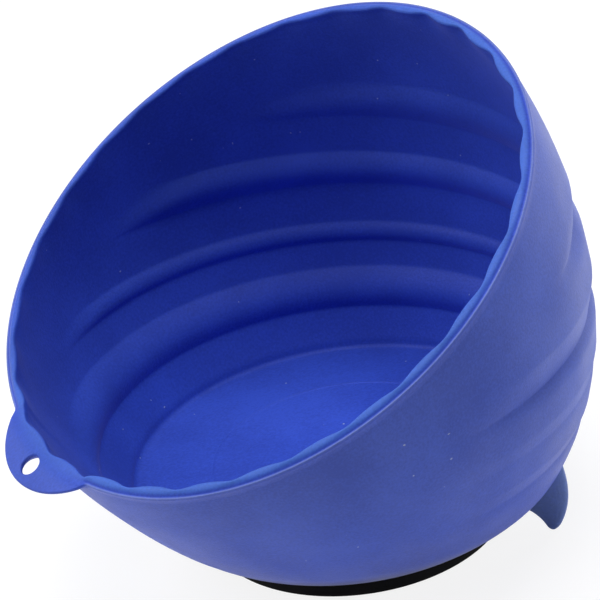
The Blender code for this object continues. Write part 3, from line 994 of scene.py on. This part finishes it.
# The last three tint amounts paint sheen on the outer skin, a highlight on the lip and shade over the
# boot; the pale colour given last serves the painted sheen and the dust specks
SOFT_BLUE = finish_material(
    "soft_blue_moulding", tone=(0.0230, 0.057, 0.41), other_tone=(0.0330, 0.081, 0.54),
    roughness=(0.50, 0.62), grain=(1500.0, 55.0, 0.6), tint=(38.0, 800.0, 0.5, 0.055, 0.15, 0.80),
    bump=(0.45, 0.0002), sheen=(0.08, 0.40, (0.92, 0.94, 1.0)), specular=0.22, sheen_and_dust=(0.52, 0.60, 0.62),
)
BLACK_RUBBER = finish_material(
    "black_rubber_boot", tone=(0.003, 0.003, 0.004), other_tone=(0.006, 0.006, 0.007),
    roughness=(0.6, 0.8), grain=(1100.0, 80.0, 0.5), tint=(60.0, 500.0, 0.1, 0.0, 0.0, 0.0),
    bump=(0.15, 0.0002), specular=0.06,
)
FERRITE = finish_material(
    "sintered_ferrite", tone=(0.050, 0.050, 0.055), other_tone=(0.075, 0.073, 0.075),
    roughness=(0.6, 0.8), grain=(900.0, 150.0, 0.4), tint=(120.0, 700.0, 0.2, 0.0, 0.0, 0.0),
    bump=(0.25, 0.0002),
)
PLATED_STEEL = finish_material(
    "zinc_plated_steel", tone=(0.52, 0.53, 0.55), other_tone=(0.60, 0.60, 0.60),
    roughness=(0.28, 0.42), grain=(2200.0, 200.0, 0.3), tint=(150.0, 900.0, 0.1, 0.0, 0.0, 0.0),
    bump=(0.05, 0.0001), metallic=1.0,
)
BRASS = finish_material(
    "turned_brass", tone=(0.60, 0.44, 0.18), other_tone=(0.66, 0.50, 0.24),
    roughness=(0.25, 0.38), grain=(2500.0, 220.0, 0.3), tint=(150.0, 900.0, 0.1, 0.0, 0.0, 0.0),
    bump=(0.05, 0.0001), metallic=1.0,
)


bowl = make_piece("bowl_shell", *bowl_mesh(), SOFT_BLUE)
drill_ear(bowl)
mark_bowl(bowl)
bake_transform(bowl)
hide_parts("bowl_base", "bellows_wall", "bowl_rim")

fin = make_piece("pull_fin", *fin_mesh(), SOFT_BLUE)
# The fin gets painted sheen and a painted highlight all over, which lighten it in the bowl's shade, and no
# painted shade
write_masks(fin, bloom=FIN_PAINTED_SHEEN, worn=1.0, rubbed=0.0)
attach(fin, "base")

boot = make_piece("rubber_boot_skin", *boot_mesh(), BLACK_RUBBER)
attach(boot, "base")
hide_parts("rubber_boot")

for node, finish in (
    ("ring_magnet", FERRITE),
    ("spreader_plate", PLATED_STEEL),
    ("clamp_plate", PLATED_STEEL),
    ("insert_nut", BRASS),
    ("base_screw", PLATED_STEEL),
):
    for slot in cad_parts[node].material_slots:
        slot.material = finish


# Studio
WORLD_LIGHT = 0.10
FLOOR_TONE = 0.85
FLOOR_TONE_SEEN = 0.22
FLOOR_GLOW = 0.86
FLOOR_HALF = 3.0
FLOOR_LEVEL = -0.02 * MM
LAMP_AIM = (0.0, 0.0, 0.06)
# Soft boxes: name, place, length of a side in metres, power in watts
SOFT_BOXES = (
    ("top_box", (0.0, 0.0, 1.2), 0.8, 10.6),
    ("left_box", (-0.7, 0.5, 0.85), 0.6, 6.5),
    ("right_box", (0.95, -0.7, 0.27), 0.5, 2.8),
    ("back_box", (1.05, 0.15, 0.35), 0.5, 2.5),
)


def seen_directly(tree):
    """1 for what the camera, a mirror-like surface or glass sees, and 0 for light that falls on things."""
    path = joined(tree, "ShaderNodeLightPath")
    first = calculated(tree, "MAXIMUM", path.outputs["Is Camera Ray"], path.outputs["Is Glossy Ray"])
    return calculated(tree, "MAXIMUM", first, path.outputs["Is Transmission Ray"])


def make_world():
    """Plain soft surroundings that show as white and light the object at a modest level."""
    world = bpy.data.worlds.new("studio_world")
    world.use_nodes = True
    tree = world.node_tree
    back = tree.nodes["Background"]
    strength = mapped(tree, seen_directly(tree), target=(WORLD_LIGHT, 1.0))
    back.inputs["Color"].default_value = (1.0, 1.0, 1.0, 1.0)
    tree.links.new(strength, back.inputs["Strength"])
    bpy.context.scene.world = world


def make_lamp(name, place, size, power):
    """A square soft box at a place, turned towards the object."""
    data = bpy.data.lights.new(name, "AREA")
    data.shape, data.size, data.energy = "SQUARE", size, power
    lamp = bpy.data.objects.new(name, data)
    facing = (Vector(LAMP_AIM) - Vector(place)).to_track_quat("-Z", "Y")
    lamp.matrix_world = Matrix.Translation(place) @ facing.to_matrix().to_4x4()
    bpy.context.scene.collection.objects.link(lamp)


def make_floor():
    """A pale floor that keeps a faint shadow of the object."""
    corners = [[-1, -1], [1, -1], [1, 1], [-1, 1]]
    points = np.array([[FLOOR_HALF * x, FLOOR_HALF * y, FLOOR_LEVEL] for x, y in corners])
    made = bpy.data.materials.new("pale_floor")
    made.use_nodes = True
    tree = made.node_tree
    shader = tree.nodes["Principled BSDF"]
    path = joined(tree, "ShaderNodeLightPath")
    grey = mapped(tree, path.outputs["Is Camera Ray"], target=(FLOOR_TONE, FLOOR_TONE_SEEN))
    tree.links.new(grey, shader.inputs["Base Color"])
    shader.inputs["Roughness"].default_value = 0.9
    shader.inputs["Specular IOR Level"].default_value = 0.0
    shader.inputs["Emission Color"].default_value = (1.0, 1.0, 1.0, 1.0)
    glow = mapped(tree, seen_directly(tree), target=(0.0, FLOOR_GLOW))
    tree.links.new(glow, shader.inputs["Emission Strength"])
    floor = make_piece("pale_floor", points, [[0, 1, 2, 3]], made)


make_world()
for soft_box in SOFT_BOXES:
    make_lamp(*soft_box)
make_floor()
bpy.context.scene.view_settings.view_transform = "Standard"
